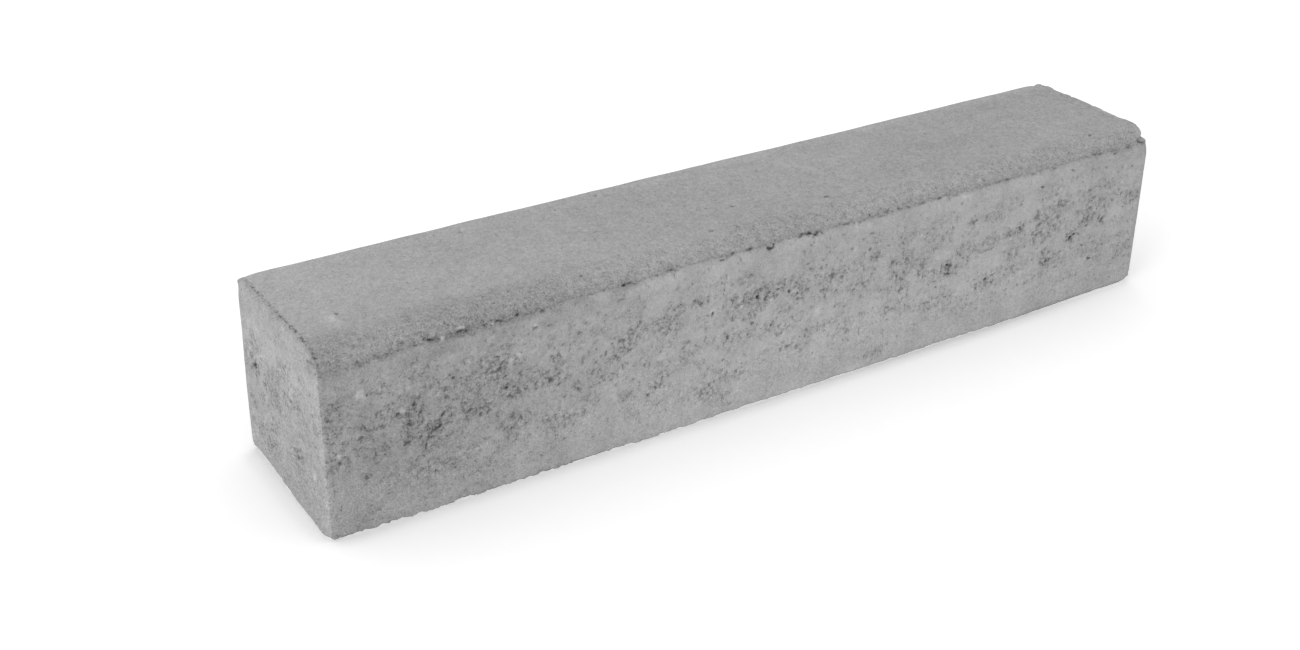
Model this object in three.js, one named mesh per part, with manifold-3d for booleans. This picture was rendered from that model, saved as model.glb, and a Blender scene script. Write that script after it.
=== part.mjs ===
// A concrete kerb stone, machine-pressed as one piece.
//
// It is pressed between straight mould walls under a shaped shoe. The shoe forms the flat
// top and the quarter-round nose along the front. It ends just short of the mould wall, and
// the concrete that rises between shoe and wall stays as a narrow ledge on the nose: the
// parting ledge, which runs the whole length and fades out in the rounded ends.
//
// Millimetres. X runs along the stone, the nose faces -Y and Z is up. The origin is the
// middle of the bed.

import * as THREE from 'three';
import { mergeVertices } from 'three/addons/utils/BufferGeometryUtils.js';
import Module from 'manifold-3d';

// The block
const length = 800;
const width = 150;
const height = 150;

// The nose that the shoe forms, and the ledge that it leaves
const nose_radius = 28;
const ledge_depth = 10.7; // from the top down to the ledge
const ledge_width = 2.2; // how far the ledge stands out of the nose

// Arrises
const upright_arris = 5.5; // at the front, at both ends
const foot_arris = 5.5; // along the bed, at both ends
const end_arris = 3; // round the rest of both ends
const back_arris = 7; // along the top at the back
const bed_arris = 2.5; // along the bed, front and back
const sharp_arris = 0.05; // what is left of an arris that is smaller than the inset

// Steps along the round stretches
const nose_steps = 18;
const arris_steps = 6;

// The shoe's cut runs this far past the block
const overrun = 10;

const front = -width / 2;
const back = width / 2;

// How far a corner, tangent to top and front, has come in from the front at this depth.
function cornerInset(radius, depth) {
  return radius - Math.sqrt(2 * radius * depth - depth * depth);
}

// The radius of the corner, tangent to top and front, through the point at this inset and depth.
function cornerRadiusThrough(inset, depth) {
  return inset + depth + Math.sqrt(2 * inset * depth);
}

const nose_inset = cornerInset(nose_radius, ledge_depth);
const lip_inset = nose_inset - ledge_width;
const lip_radius = cornerRadiusThrough(lip_inset, ledge_depth);

// Points of one round corner of a section, from one angle to another.
function cornerPoints(y, z, radius, fromAngle, toAngle, steps) {
  const arc = new THREE.EllipseCurve(y, z, radius, radius, fromAngle, toAngle, toAngle < fromAngle);
  return arc.getPoints(steps);
}

// One ring of points round the section between the mould walls. The turn goes from 0, where the
// long faces run out into the arrises of the ends, to a right angle, where those reach the end
// face; end is 1 for the right end and -1 for the left. Round each corner the arris changes
// smoothly from the upright's radius to the level edge's. The front top corner passes through
// the lip of the ledge.
function mouldRing(end, turn) {
  const atBack = { y: back, inwardY: -1, upright: end_arris };
  const atFront = { y: front, inwardY: 1, upright: upright_arris };
  const onBed = { z: 0, inwardZ: 1, level: foot_arris };
  const onTop = { z: height, inwardZ: -1, level: end_arris };
  const corners = [
    { ...atBack, ...onBed, radius: bed_arris, steps: arris_steps },
    { ...atBack, ...onTop, radius: back_arris, steps: arris_steps },
    { ...atFront, ...onTop, radius: lip_radius, steps: nose_steps },
    { ...atFront, ...onBed, radius: bed_arris, steps: arris_steps },
  ];
  return corners.flatMap((corner, index) => {
    const upright_inset = corner.upright * (1 - Math.cos(turn));
    const level_inset = corner.level * (1 - Math.cos(turn));
    const radiusY = Math.max(corner.radius - upright_inset, sharp_arris);
    const radiusZ = Math.max(corner.radius - level_inset, sharp_arris);
    const middleY = corner.y + corner.inwardY * (upright_inset + radiusY);
    const middleZ = corner.z + corner.inwardZ * (level_inset + radiusZ);
    const points = [];
    for (let step = 0; step <= corner.steps; step += 1) {
      const angle = (index - 1 + step / corner.steps) * Math.PI / 2;
      const arris = corner.level + (corner.upright - corner.level) * Math.cos(angle) ** 2;
      points.push(new THREE.Vector3(
        end * (length / 2 - arris * (1 - Math.sin(turn))),
        middleY + radiusY * Math.cos(angle),
        middleZ + radiusZ * Math.sin(angle),
      ));
    }
    return points;
  });
}

// Joins rings with the same number of points into a closed solid. The first and last ring are
// flat and convex, so a fan from the middle closes each.
function loft(rings) {
  const count = rings[0].length;
  const points = rings.flat();
  const triangles = [];
  for (let ring = 0; ring + 1 < rings.length; ring += 1) {
    for (let i = 0; i < count; i += 1) {
      const a = ring * count + i;
      const b = ring * count + (i + 1) % count;
      triangles.push(a, b, a + count, b, b + count, a + count);
    }
  }
  const last = (rings.length - 1) * count;
  const closeRing = (start, outward) => {
    const middle = new THREE.Vector3();
    for (let i = 0; i < count; i += 1) {
      middle.addScaledVector(points[start + i], 1 / count);
    }
    points.push(middle);
    for (let i = 0; i < count; i += 1) {
      const a = start + i;
      const b = start + (i + 1) % count;
      triangles.push(points.length - 1, outward ? a : b, outward ? b : a);
    }
  };
  closeRing(0, false);
  closeRing(last, true);
  const geometry = new THREE.BufferGeometry().setFromPoints(points);
  geometry.setIndex(triangles);
  return geometry;
}

// The block between the mould walls, with a quarter-round arris all round both ends.
function mouldBlock() {
  const turns = [];
  for (let step = 0; step <= arris_steps; step += 1) {
    turns.push(step / arris_steps * Math.PI / 2);
  }
  const leftEnd = [...turns].reverse().map((turn) => mouldRing(-1, turn));
  const rightEnd = turns.map((turn) => mouldRing(1, turn));
  return loft([...leftEnd, ...rightEnd]);
}

// The shoe's cut from end to end: all that is outside the nose and above the ledge.
function shoeCut() {
  const ledge_height = height - ledge_depth;
  const ledge_angle = Math.PI / 2 + Math.acos((nose_radius - ledge_depth) / nose_radius);
  const nose = cornerPoints(front + nose_radius, height - nose_radius, nose_radius,
    ledge_angle, Math.PI / 2, nose_steps);
  const section = new THREE.Shape([
    new THREE.Vector2(front - overrun, ledge_height),
    ...nose,
    new THREE.Vector2(front + nose_radius, height + overrun),
    new THREE.Vector2(front - overrun, height + overrun),
  ]);
  const run = length + 2 * overrun;
  const geometry = new THREE.ExtrudeGeometry(section, { depth: run, bevelEnabled: false });
  const alongLength = new THREE.Matrix4().makeBasis(
    new THREE.Vector3(0, 1, 0),
    new THREE.Vector3(0, 0, 1),
    new THREE.Vector3(1, 0, 0),
  );
  return geometry.applyMatrix4(alongLength).translate(-run / 2, 0, 0);
}

const wasm = await Module();
wasm.setup();

function toSolid(geometry) {
  geometry.deleteAttribute('normal');
  geometry.deleteAttribute('uv');
  const merged = mergeVertices(geometry);
  return new wasm.Manifold(new wasm.Mesh({
    numProp: 3,
    vertProperties: merged.attributes.position.array,
    triVerts: new Uint32Array(merged.index.array),
  }));
}

function toGeometry(solid) {
  const mesh = solid.getMesh();
  const geometry = new THREE.BufferGeometry();
  geometry.setAttribute('position', new THREE.BufferAttribute(mesh.vertProperties, 3));
  geometry.setIndex(new THREE.BufferAttribute(mesh.triVerts, 1));
  geometry.computeVertexNormals();
  return geometry;
}

const concrete = new THREE.MeshStandardMaterial({
  color: 0xa0a0a0,
  roughness: 0.92,
  metalness: 0,
});

const pressed = toSolid(mouldBlock()).subtract(toSolid(shoeCut()));
const stone = new THREE.Mesh(toGeometry(pressed), concrete);
stone.name = 'kerb_stone';

const part = new THREE.Group();
part.add(stone);

export default part;
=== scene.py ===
"""A machine-pressed concrete kerb stone: its cast surface, and a studio floor, light and camera.

The stone is shaped as a plain block with rounded arrises, meshed finely, and then given the
relief that pressing leaves: a ragged parting ledge, open honeycomb, pores and worn edges. The
relief and the colour are worked out from the same patterns, in millimetres on the block.
"""

import math
import random

import bmesh
import bpy
import numpy as np
from mathutils import Matrix, Vector


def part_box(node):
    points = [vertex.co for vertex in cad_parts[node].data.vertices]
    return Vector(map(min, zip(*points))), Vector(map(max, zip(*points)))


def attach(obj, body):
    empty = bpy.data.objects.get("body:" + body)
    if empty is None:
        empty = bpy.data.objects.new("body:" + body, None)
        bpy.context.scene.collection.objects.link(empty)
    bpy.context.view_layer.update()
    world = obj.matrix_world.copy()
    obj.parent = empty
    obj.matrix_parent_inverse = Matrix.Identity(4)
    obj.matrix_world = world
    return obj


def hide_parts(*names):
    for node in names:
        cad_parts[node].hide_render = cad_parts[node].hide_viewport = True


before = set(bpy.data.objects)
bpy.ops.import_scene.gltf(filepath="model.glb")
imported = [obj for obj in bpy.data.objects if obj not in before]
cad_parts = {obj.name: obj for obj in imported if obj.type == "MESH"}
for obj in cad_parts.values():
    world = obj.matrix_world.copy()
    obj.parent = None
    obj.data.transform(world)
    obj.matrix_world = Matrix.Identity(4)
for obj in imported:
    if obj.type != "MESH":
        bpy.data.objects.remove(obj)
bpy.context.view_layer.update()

MM = 0.001
NODE = "kerb_stone"
LOW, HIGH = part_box(NODE)

# The block in millimetres: its middle is at x = 0 and y = 0, and its bed at z = 0
HALF_LENGTH = HIGH.x / MM
HALF_WIDTH = HIGH.y / MM
HEIGHT = HIGH.z / MM

# The nose: the mould wall's tight corner below the ledge, and the shoe's rounder one above
LIP_RADIUS = 23.5
NOSE_RADIUS = 28
NOSE_SEGMENTS = 20

# Arrises of the pressed block. Round each end they widen in ARRIS_STEPS steps from END_ARRIS
# to UPRIGHT_ARRIS, which runs up the front.
UPRIGHT_ARRIS = 5.5
FOOT_ARRIS = 5.5
END_ARRIS = 3
BACK_ARRIS = 7
BED_ARRIS = 2.5
ARRIS_SEGMENTS = 5
ARRIS_STEPS = 5

# Where the shoe met the mould: at the ends, and along the nose as (x, height)
SHOE_END = HALF_LENGTH - 5.6
LEDGE_LINE = [
    (-400, 136),
    (-350, 136.3),
    (-320, 139.2),
    (-290, 138.3),
    (-230, 137.6),
    (-200, 139.8),
    (-140, 139.2),
    (-110, 140.6),
    (-80, 141),
    (-50, 140),
    (10, 139.8),
    (40, 139),
    (130, 139.2),
    (160, 140),
    (190, 138.4),
    (300, 138.8),
    (340, 139.2),
    (370, 138),
    (400, 139.5),
]

# How finely the stone is meshed, in millimetres, and its triangles once it has its relief
VOXEL = 1.0
FINISHED_TRIANGLES = 190_000


# ---------------------------------------------------------------- places on the stone
# All in millimetres. An oval is (along, up, half length, half height, tilt in degrees,
# strength). "Along" is x on the front, the back and the top, and y on the ends; "up" is z,
# or y on the top.

FRONT_HONEYCOMB = [
    (-391, 94, 8, 17, 0, 0.55),
    (-388, 62, 7, 9, 0, 0.65),
    (-368, 82, 8, 7, 30, 0.45),
    (-350, 90, 4, 9, 0, 0.5),
    (-331, 88, 9, 8, 35, 0.75),
    (-330, 72, 10, 9, 0, 0.65),
    (-336, 64, 7, 4, 0, 0.5),
    (-316, 68, 9, 7, 10, 0.85),
    (-303, 76, 8, 5, 20, 0.65),
    (-303, 92, 5, 8, 0, 0.7),
    (-299, 107, 6, 6, 0, 0.6),
    (-284, 75, 9, 6, -10, 0.7),
    (-279, 98, 9, 7, 0, 0.6),
    (-261, 102, 14, 9, 0, 0.8),
    (-276, 93, 9, 6, 20, 0.6),
    (-248, 80, 11, 6, -20, 0.9),
    (-218, 79, 13, 5, 0, 0.85),
    (-210, 96, 7, 7, 0, 0.6),
    (-366, 44, 7, 5, -20, 0.35),
    (-324, 42, 11, 6, 10, 0.5),
    (-262, 36, 6, 5, 0, 0.4),
    (-212, 36, 9, 5, 10, 0.4),
    (-195, 65, 6, 5, 0, 0.7),
    (-152, 92, 16, 7, 38, 1.0),
    (-167, 66, 9, 4, 10, 0.7),
    (-156, 70, 5, 6, 0, 0.5),
    (-184, 50, 8, 6, -20, 0.3),
    (-140, 101, 9, 6, -30, 0.6),
    (-112, 92, 12, 8, -20, 0.6),
    (-123, 48, 13, 6, 45, 0.8),
    (-103, 109, 5, 3, 0, 0.6),
    (-86, 109, 5, 4, 0, 0.8),
    (-42, 99, 15, 6, -5, 0.9),
    (-21, 99, 11, 8, 0, 1.0),
    (-8, 101, 8, 6, 10, 0.8),
    (-33, 84, 5, 9, 15, 0.7),
    (-52, 90, 7, 6, -20, 0.5),
    (-56, 71, 6, 6, 0, 0.5),
    (-17, 68, 8, 5, 0, 0.6),
    (-3, 62, 7, 6, 0, 0.6),
    (-76, 25, 11, 8, -20, 0.6),
    (-57, 15, 7, 6, 0, 0.5),
    (-62, 37, 6, 4, 0, 0.45),
    (3, 45, 9, 4, 0, 0.6),
    (13, 95, 9, 6, 0, 0.8),
    (13, 84, 6, 4, -20, 0.6),
    (49, 96, 9, 7, 0, 0.8),
    (41, 85, 7, 9, 35, 0.7),
    (57, 66, 5, 7, 0, 0.45),
    (73, 81, 10, 4, 0, 0.7),
    (89, 104, 8, 4, 0, 0.6),
    (109, 91, 5, 6, 0, 0.6),
    (124, 94, 6, 8, 0, 0.6),
    (114, 80, 7, 5, 0, 0.8),
    (120, 68, 8, 6, -30, 0.6),
    (107, 52, 9, 4, -20, 0.65),
    (70, 53, 10, 4, 0, 0.4),
    (63, 40, 4, 6, 0, 0.5),
    (92, 13, 13, 5, 5, 0.45),
    (142, 77, 6, 9, 30, 0.7),
    (147, 105, 8, 4, 0, 0.5),
    (165, 104, 5, 5, 0, 0.55),
    (171, 72, 9, 7, 0, 1.0),
    (156, 68, 6, 5, 0, 0.6),
    (153, 42, 10, 5, 0, 0.7),
    (193, 107, 7, 5, 40, 0.6),
    (190, 85, 9, 8, 0, 0.5),
    (221, 49, 9, 5, -10, 0.75),
    (215, 84, 9, 6, 0, 0.65),
    (241, 86, 6, 5, 0, 0.6),
    (251, 90, 5, 5, -40, 0.9),
    (242, 67, 9, 6, -20, 0.6),
    (270, 97, 5, 4, 0, 0.75),
    (285, 96, 9, 6, 0, 0.6),
    (277, 82, 9, 8, 0, 0.8),
    (296, 87, 8, 6, 10, 0.65),
    (299, 102, 6, 6, 0, 0.7),
    (273, 74, 9, 4, -20, 0.65),
    (285, 53, 9, 6, -50, 0.95),
    (315, 66, 8, 6, 10, 0.85),
    (332, 79, 10, 6, 30, 0.85),
    (340, 94, 13, 7, -15, 0.7),
    (350, 74, 5, 5, 30, 0.8),
    (334, 50, 10, 8, 0, 0.4),
    (356, 51, 7, 5, 0, 0.5),
    (375, 48, 8, 8, 0, 0.4),
    (343, 38, 5, 4, -30, 0.7),
    (384, 90, 9, 8, -20, 0.6),
]

FRONT_PITS = [
    (-376, 135, 1.1, 2.0, 20, 0.8),
    (-387.5, 63, 1.4, 1.8, 20, 1.3),
    (-371, 78, 2.0, 1.0, 0, 1.3),
    (-366, 84, 0.9, 2.6, 30, 0.9),
    (-335, 63, 2.6, 1.0, 10, 1.7),
    (-330, 77, 1.6, 1.1, 20, 1.3),
    (-322, 79, 0.9, 2.2, 20, 1.1),
    (-311, 68, 3.4, 1.3, 30, 1.8),
    (-316, 66, 2.2, 1.1, 10, 1.4),
    (-306, 78, 2.4, 1.1, 50, 1.6),
    (-321, 56, 0.9, 2.8, -15, 1.6),
    (-300, 69, 1.0, 1.5, -20, 1.2),
    (-276, 68, 1.4, 1.7, 0, 1.4),
    (-286, 74, 3.2, 1.0, 20, 1.3),
    (-297, 105, 1.3, 1.1, 0, 1.7),
    (-274, 111, 0.9, 1.9, 0, 1.2),
    (-264, 100, 4.0, 1.2, 0, 1.4),
    (-254, 84, 1.8, 1.1, 0, 2.0),
    (-244, 79, 1.8, 1.2, -30, 1.3),
    (-217, 79, 2.4, 1.4, 0, 1.4),
    (-303, 92, 1.4, 2.0, 30, 1.2),
    (-368, 45, 1.0, 1.9, 0, 1.3),
    (-361, 15, 1.9, 0.8, 10, 1.0),
    (-254, 41, 1.3, 1.8, 30, 1.1),
    (-229, 127, 2.2, 0.8, 30, 1.2),
    (-217, 125.5, 2.6, 0.7, -10, 1.2),
    (-223, 129, 4.5, 0.6, -5, 0.8),
    (-327, 126, 2.6, 0.7, -20, 1.1),
    (-324, 129, 0.7, 2.0, 0, 0.9),
    (-354, 138, 2.6, 1.4, 20, 0.8),
    (-398, 127, 0.9, 0.9, 0, 1.0),
    (-178, 83, 1.6, 1.0, 20, 1.2),
    (-169, 88, 1.1, 2.2, -20, 1.4),
    (-164, 95, 1.4, 1.0, 20, 1.2),
    (-154, 94, 1.1, 1.6, -20, 1.4),
    (-146, 98, 2.2, 0.9, -15, 1.3),
    (-173, 69, 2.0, 1.0, 20, 1.2),
    (-120, 75, 1.2, 1.2, 0, 1.3),
    (-131, 40, 1.4, 1.1, -30, 1.4),
    (-125, 45, 1.4, 1.4, 0, 1.3),
    (-72, 95, 1.0, 1.6, 0, 1.7),
    (-57, 70, 1.5, 1.7, 0, 1.7),
    (-40, 49, 2.0, 1.0, -50, 1.0),
    (-75, 24, 1.3, 1.2, 0, 1.3),
    (-86, 109, 1.3, 1.6, 0, 1.3),
    (-29, 98, 1.8, 1.5, -40, 1.8),
    (-28, 104, 3.4, 1.4, 0, 1.3),
    (-10, 100, 1.8, 1.1, -10, 1.4),
    (-31, 83, 1.1, 1.1, 0, 1.2),
    (-34, 76, 1.3, 1.1, -30, 1.4),
    (-15, 69, 1.2, 1.2, 0, 1.6),
    (-17, 66, 1.2, 1.0, 30, 1.1),
    (2, 95, 1.4, 1.3, 0, 1.9),
    (3, 45, 3.4, 1.2, 0, 1.2),
    (11, 86, 1.5, 1.0, 0, 1.3),
    (46, 98, 1.3, 1.9, 0, 1.3),
    (40, 86, 1.1, 2.6, 30, 1.1),
    (76, 71, 1.0, 1.4, 30, 1.2),
    (108, 93, 1.8, 1.2, 20, 1.4),
    (124, 93, 1.2, 1.6, 0, 1.4),
    (114, 79.5, 2.0, 1.1, -20, 1.2),
    (106, 52, 2.2, 1.4, -20, 1.2),
    (112, 50, 1.8, 1.1, -20, 1.1),
    (142, 82, 3.0, 1.1, -40, 1.1),
    (138, 75, 1.9, 0.9, -40, 1.3),
    (64, 41, 1.2, 2.2, 0, 1.1),
    (84, 126, 2.4, 0.8, -15, 1.3),
    (-156, 130, 3.0, 0.8, -5, 1.0),
    (-105, 126, 1.8, 1.2, 0, 0.9),
    (-95, 124, 1.2, 1.0, 0, 0.8),
    (-60, 124, 0.9, 2.2, 0, 1.1),
    (-46, 135, 0.7, 1.6, 0, 1.1),
    (15, 127, 1.6, 0.9, 0, 1.1),
    (22, 131, 1.8, 0.7, -40, 1.2),
    (38, 124.5, 2.0, 0.7, 0, 1.0),
    (46, 123, 2.2, 0.8, 10, 0.9),
    (54, 132, 1.2, 0.9, 0, 1.0),
    (64, 117, 1.6, 1.2, 0, 1.1),
    (75, 123, 1.4, 1.1, -30, 1.1),
    (83, 112, 1.0, 1.4, 0, 1.3),
    (90, 116, 1.4, 0.9, 20, 0.9),
    (180, 130, 1.4, 1.0, 0, 1.1),
    (249, 113, 2.2, 0.9, -20, 1.2),
    (290, 113, 2.6, 0.9, 0, 1.2),
    (313, 124, 1.6, 0.8, 40, 1.1),
    (348, 126, 1.4, 0.7, -20, 1.1),
    (169, 76, 1.5, 1.3, 0, 2.0),
    (173, 74, 1.8, 1.5, -20, 1.8),
    (171, 71, 1.4, 2.2, 20, 1.6),
    (171, 67, 1.8, 1.0, -20, 1.6),
    (195, 109, 1.4, 2.4, 50, 1.2),
    (215, 50, 1.4, 1.2, 0, 1.9),
    (218, 46, 1.4, 1.1, 0, 1.2),
    (240, 86, 1.0, 1.8, 0, 1.3),
    (251, 90, 2.6, 1.2, -40, 1.6),
    (241, 68, 1.0, 1.7, 30, 1.1),
    (276, 80, 2.2, 1.1, -30, 1.3),
    (270, 97, 2.4, 1.6, 0, 1.1),
    (299, 100, 3.0, 0.9, 0, 1.2),
    (283, 57, 2.2, 1.4, -50, 1.2),
    (288, 49, 1.9, 1.3, 10, 1.7),
    (286, 45, 2.4, 1.3, -20, 1.1),
    (314, 65, 1.6, 1.9, 20, 2.3),
    (318, 68, 1.3, 1.1, 0, 2.1),
    (333, 81, 3.0, 1.4, 20, 1.3),
    (351, 75, 2.8, 1.2, 40, 1.5),
    (342, 38, 1.6, 1.2, -30, 2.0),
    (272, 124.5, 2.0, 0.9, -10, 1.7),
    (307, 132, 1.7, 0.8, -20, 1.4),
]

# Crumbs that have broken out of the parting ledge
LEDGE_PITS = [
    (-399, 143, 1.2, 1.2, 0, 1.2),
    (-341, 140, 1.6, 0.8, 10, 0.9),
    (-316, 140.6, 1.8, 0.8, 25, 1.5),
    (-311, 139.2, 1.8, 0.8, -15, 1.9),
    (-287, 139.6, 3.2, 0.5, 0, 1.6),
    (-283, 138.3, 1.2, 0.8, 30, 1.8),
    (-288, 136.2, 3.0, 0.6, 0, 1.2),
    (-268, 139, 2.6, 0.7, 0, 1.3),
    (-262, 140.4, 1.0, 1.1, -40, 1.8),
    (-256, 139, 2.6, 0.7, -10, 1.5),
    (-241, 139.7, 1.9, 0.7, 20, 1.6),
    (-221.5, 137.8, 2.2, 0.8, 10, 1.6),
    (-192, 137, 5.0, 1.6, 0, 0.6),
    (-150.5, 139.6, 1.7, 0.8, 15, 2.0),
    (-145, 140.2, 2.4, 0.7, 0, 1.4),
    (-141, 138.6, 1.9, 0.7, -10, 1.5),
    (-121, 139.8, 1.4, 0.8, 0, 1.2),
    (-115, 139.5, 2.2, 0.7, 20, 0.9),
    (-108, 141, 1.6, 0.7, 0, 1.3),
    (-104, 139.8, 1.8, 0.7, 0, 1.1),
    (-63, 138.3, 2.2, 0.7, -10, 1.6),
    (-57, 139, 3.0, 0.6, 10, 0.9),
    (-51, 140.5, 2.8, 0.7, 20, 1.4),
    (-36, 140.2, 3.4, 0.7, 5, 1.2),
    (-34, 140.5, 1.5, 0.7, 20, 1.5),
    (-19, 138, 1.2, 1.0, -45, 1.8),
    (-16.5, 136.9, 2.0, 0.9, 0, 2.0),
    (-13.5, 138.5, 1.7, 0.8, 45, 1.8),
    (13, 139.2, 2.2, 0.8, 5, 1.6),
    (16.5, 141, 1.3, 0.8, 20, 1.6),
    (20, 139.8, 1.8, 0.7, 0, 1.5),
    (24, 140, 1.5, 0.9, -20, 2.0),
    (27.5, 138.2, 1.6, 0.8, 0, 2.0),
    (30.5, 139, 1.4, 0.7, 20, 1.8),
    (34, 138.4, 1.5, 0.7, -20, 1.5),
    (25.5, 136.6, 0.9, 0.8, 0, 1.1),
    (60.5, 139.3, 3.0, 0.8, 5, 1.3),
    (72.5, 137.8, 1.1, 0.7, -20, 1.3),
    (77, 138.7, 2.4, 0.6, 5, 1.0),
    (85, 141, 1.3, 0.8, 45, 1.4),
    (94.5, 138.4, 3.4, 0.8, -5, 1.3),
    (102, 139.7, 2.2, 0.7, 5, 1.1),
    (115.5, 139.8, 2.4, 0.7, -10, 1.1),
    (124.5, 138.8, 1.1, 0.8, 0, 1.8),
    (139, 139.2, 3.0, 0.7, 5, 1.3),
    (157.5, 139.3, 2.4, 0.9, 5, 1.7),
    (166.5, 137.6, 0.8, 1.0, 0, 1.1),
    (175, 138, 3.4, 0.6, 0, 1.1),
    (222, 138.8, 4.0, 0.6, 0, 1.0),
    (234, 138.9, 2.2, 0.7, 0, 1.2),
    (262, 138, 3.4, 0.6, 0, 1.0),
    (286.5, 137.7, 1.9, 0.7, 0, 1.4),
    (342, 139, 3.4, 0.7, 0, 1.1),
    (337, 139.8, 2.0, 0.8, 0, 1.2),
    (359.5, 136.3, 2.2, 0.7, 0, 1.3),
    (376.5, 137.8, 2.1, 0.8, 0, 1.3),
    (379, 139.2, 1.5, 0.9, 20, 1.2),
    (391, 141, 1.3, 1.2, 0, 1.4),
    (394, 139.4, 2.2, 1.1, 0, 1.4),
]

FRONT_PALE = [
    (-369, 114, 2.6, 3.4, 0, 1.0),
    (-338, 91, 2.4, 1.8, -20, 1.0),
    (-266, 128, 1.8, 2.2, 0, 0.8),
    (-284, 115, 1.3, 1.2, 0, 0.8),
    (-244, 109, 1.7, 1.2, -20, 1.0),
    (-249, 106, 2.2, 0.8, -40, 0.9),
    (-388, 69, 1.2, 1.4, 20, 1.3),
    (-231, 108, 0.9, 1.8, -20, 0.8),
    (-229, 129, 1.8, 1.0, 0, 0.8),
    (-283, 41, 13, 0.8, -3, 0.6),
    # On the parting ledge: partly pale crumbs, partly painted highlight where chips catch light
    (-129.5, 135.7, 1.2, 0.9, 0, 1.1),
    (-302, 138.6, 1.5, 0.8, 0, 1.5),
    (-317.5, 140.2, 0.6, 1.7, -40, 1.6),
    (-286, 141.4, 3.4, 0.6, 0, 1.3),
    (-308, 142.5, 1.6, 0.6, -30, 1.1),
    (-262.5, 139.6, 0.9, 1.1, 0, 1.8),
    (-73, 98, 1.1, 1.6, 0, 1.2),
    (-79, 98, 1.0, 1.0, 0, 1.0),
    (-45, 94, 1.6, 1.4, 0, 0.9),
    (-16, 92, 1.8, 1.2, 0, 0.8),
    (-83, 33, 1.3, 1.4, 0, 0.8),
    (-30, 47, 1.6, 1.6, 0, 0.5),
    (32, 71, 2.0, 2.0, 0, 0.9),
    (84, 91, 1.3, 1.0, 0, 1.0),
    (84, 87, 1.2, 1.1, 0, 1.0),
    (111, 79, 1.4, 0.9, 0, 1.0),
    (69, 134, 1.2, 1.6, 0, 0.7),
    (139, 129, 1.8, 1.3, 20, 0.9),
    # On the ledge too: partly a pale crumb, partly painted highlight
    (184.5, 136.6, 1.6, 0.8, -10, 1.1),
    (168, 70, 1.7, 1.3, 0, 0.9),
    (284, 51, 2.2, 0.9, -10, 0.9),
    (257, 46, 8, 0.8, -2, 0.6),
    (245, 43, 6, 0.8, 0, 0.4),
]

LEFT_HONEYCOMB = [
    (52, 86, 10, 8, -20, 0.8),
    (45, 107, 9, 6, -20, 0.6),
    (66, 90, 6, 10, 0, 0.5),
    (60, 49, 7, 5, 0, 0.6),
    (-26, 48, 12, 5, -20, 0.65),
    (-32, 93, 9, 7, -30, 0.5),
    (-16, 88, 9, 5, 0, 0.5),
    (25, 79, 10, 6, -20, 0.55),
    (20, 48, 8, 5, -20, 0.5),
    (28, 26, 11, 6, -20, 0.55),
    (48, 34, 14, 8, -10, 0.4),
    (-62, 71, 7, 5, 0, 0.35),
    (-50, 118, 9, 5, 0, 0.3),
]

LEFT_PITS = [
    (52, 85, 3.6, 1.8, -20, 2.2),
    (47, 88, 2.2, 1.0, -20, 1.2),
    (60, 49, 2.4, 1.1, -20, 1.5),
    (-31, 49, 2.0, 1.1, -20, 1.4),
    (-22, 45, 2.4, 1.2, 10, 1.4),
    (-17, 48, 2.2, 1.0, -30, 1.2),
    (-15, 116, 1.6, 1.3, 0, 1.3),
    (-48, 67, 2.2, 0.9, -20, 0.9),
    (45, 107, 1.8, 0.9, 0, 0.9),
    (54, 103, 2.0, 0.9, 0, 1.0),
    (35, 99, 1.5, 0.9, 0, 0.9),
    (23, 54, 1.5, 1.0, 0, 0.9),
    (26, 27, 1.9, 1.2, -20, 1.0),
    (14, 73, 1.6, 1.1, -20, 0.8),
    (69, 31, 1.8, 1.0, -20, 1.0),
    (10, 8, 1.6, 0.9, -20, 1.1),
]

LEFT_PALE = [
    (-54, 44, 1.8, 2.4, 20, 1.0),
    (-27, 41, 2.2, 1.2, 0, 0.7),
    (-16, 113, 1.2, 1.4, 0, 0.7),
]

TOP_PITS = [
    (-359, -19, 1.2, 1.2, 0, 2),
    (-304, -6, 1.0, 1.2, 0, 0.8),
    (-223, 57, 1.1, 1.2, 0, 1.2),
    (-97, 62, 1.0, 1.6, -20, 1.2),
    (-34, -6, 1.0, 1.0, 0, 1.2),
    (-13, -13, 1.3, 1.8, 0, 1.1),
    (-19, 3, 0.8, 1.0, 0, 1.1),
    (64, -37, 2.4, 1.1, 0, 1.8),
    (44, 34, 1.0, 1.6, 0, 0.8),
    (222, 26, 1.0, 2.0, -20, 1.1),
    (255, -25, 1.0, 1.8, -20, 0.9),
    (167, 8, 1.2, 1.0, 0, 0.7),
    (-54, -43, 1.4, 1.6, 0, 1.2),
    (-32, -48, 1.3, 1.5, 0, 1.2),
    (346, -52, 2.6, 0.8, 30, 1.4),
]

TOP_PALE = [
    (-237, -40, 0.9, 1.3, 0, 2.0),
    (-200, -45, 0.7, 1.1, 0, 1.1),
    (-364, -25, 1.8, 4.0, 0, 0.7),
    (-366, -14, 1.6, 1.2, 0, 0.7),
]

# Where the parting ledge is crumblier: (along, half length, how strong)
LEDGE_CHIPS = [
    (-352, 5, 0.5),
    (-285, 5, 0.8),
    (-260, 9, 0.8),
    (-222, 3, 0.7),
    (-148, 9, 0.6),
    (-112, 9, 0.4),
    (-58, 8, 0.4),
    (-34, 4, 0.6),
    (-16, 5, 0.7),
    (24, 10, 1.0),
    (62, 6, 0.5),
    (82, 8, 0.4),
    (100, 10, 0.5),
    (150, 14, 0.5),
    (222, 14, 0.4),
    (283, 4, 0.5),
    (340, 8, 0.6),
    (359, 4, 0.7),
    (377, 5, 0.8),
    (394, 4, 1.2),
]


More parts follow.
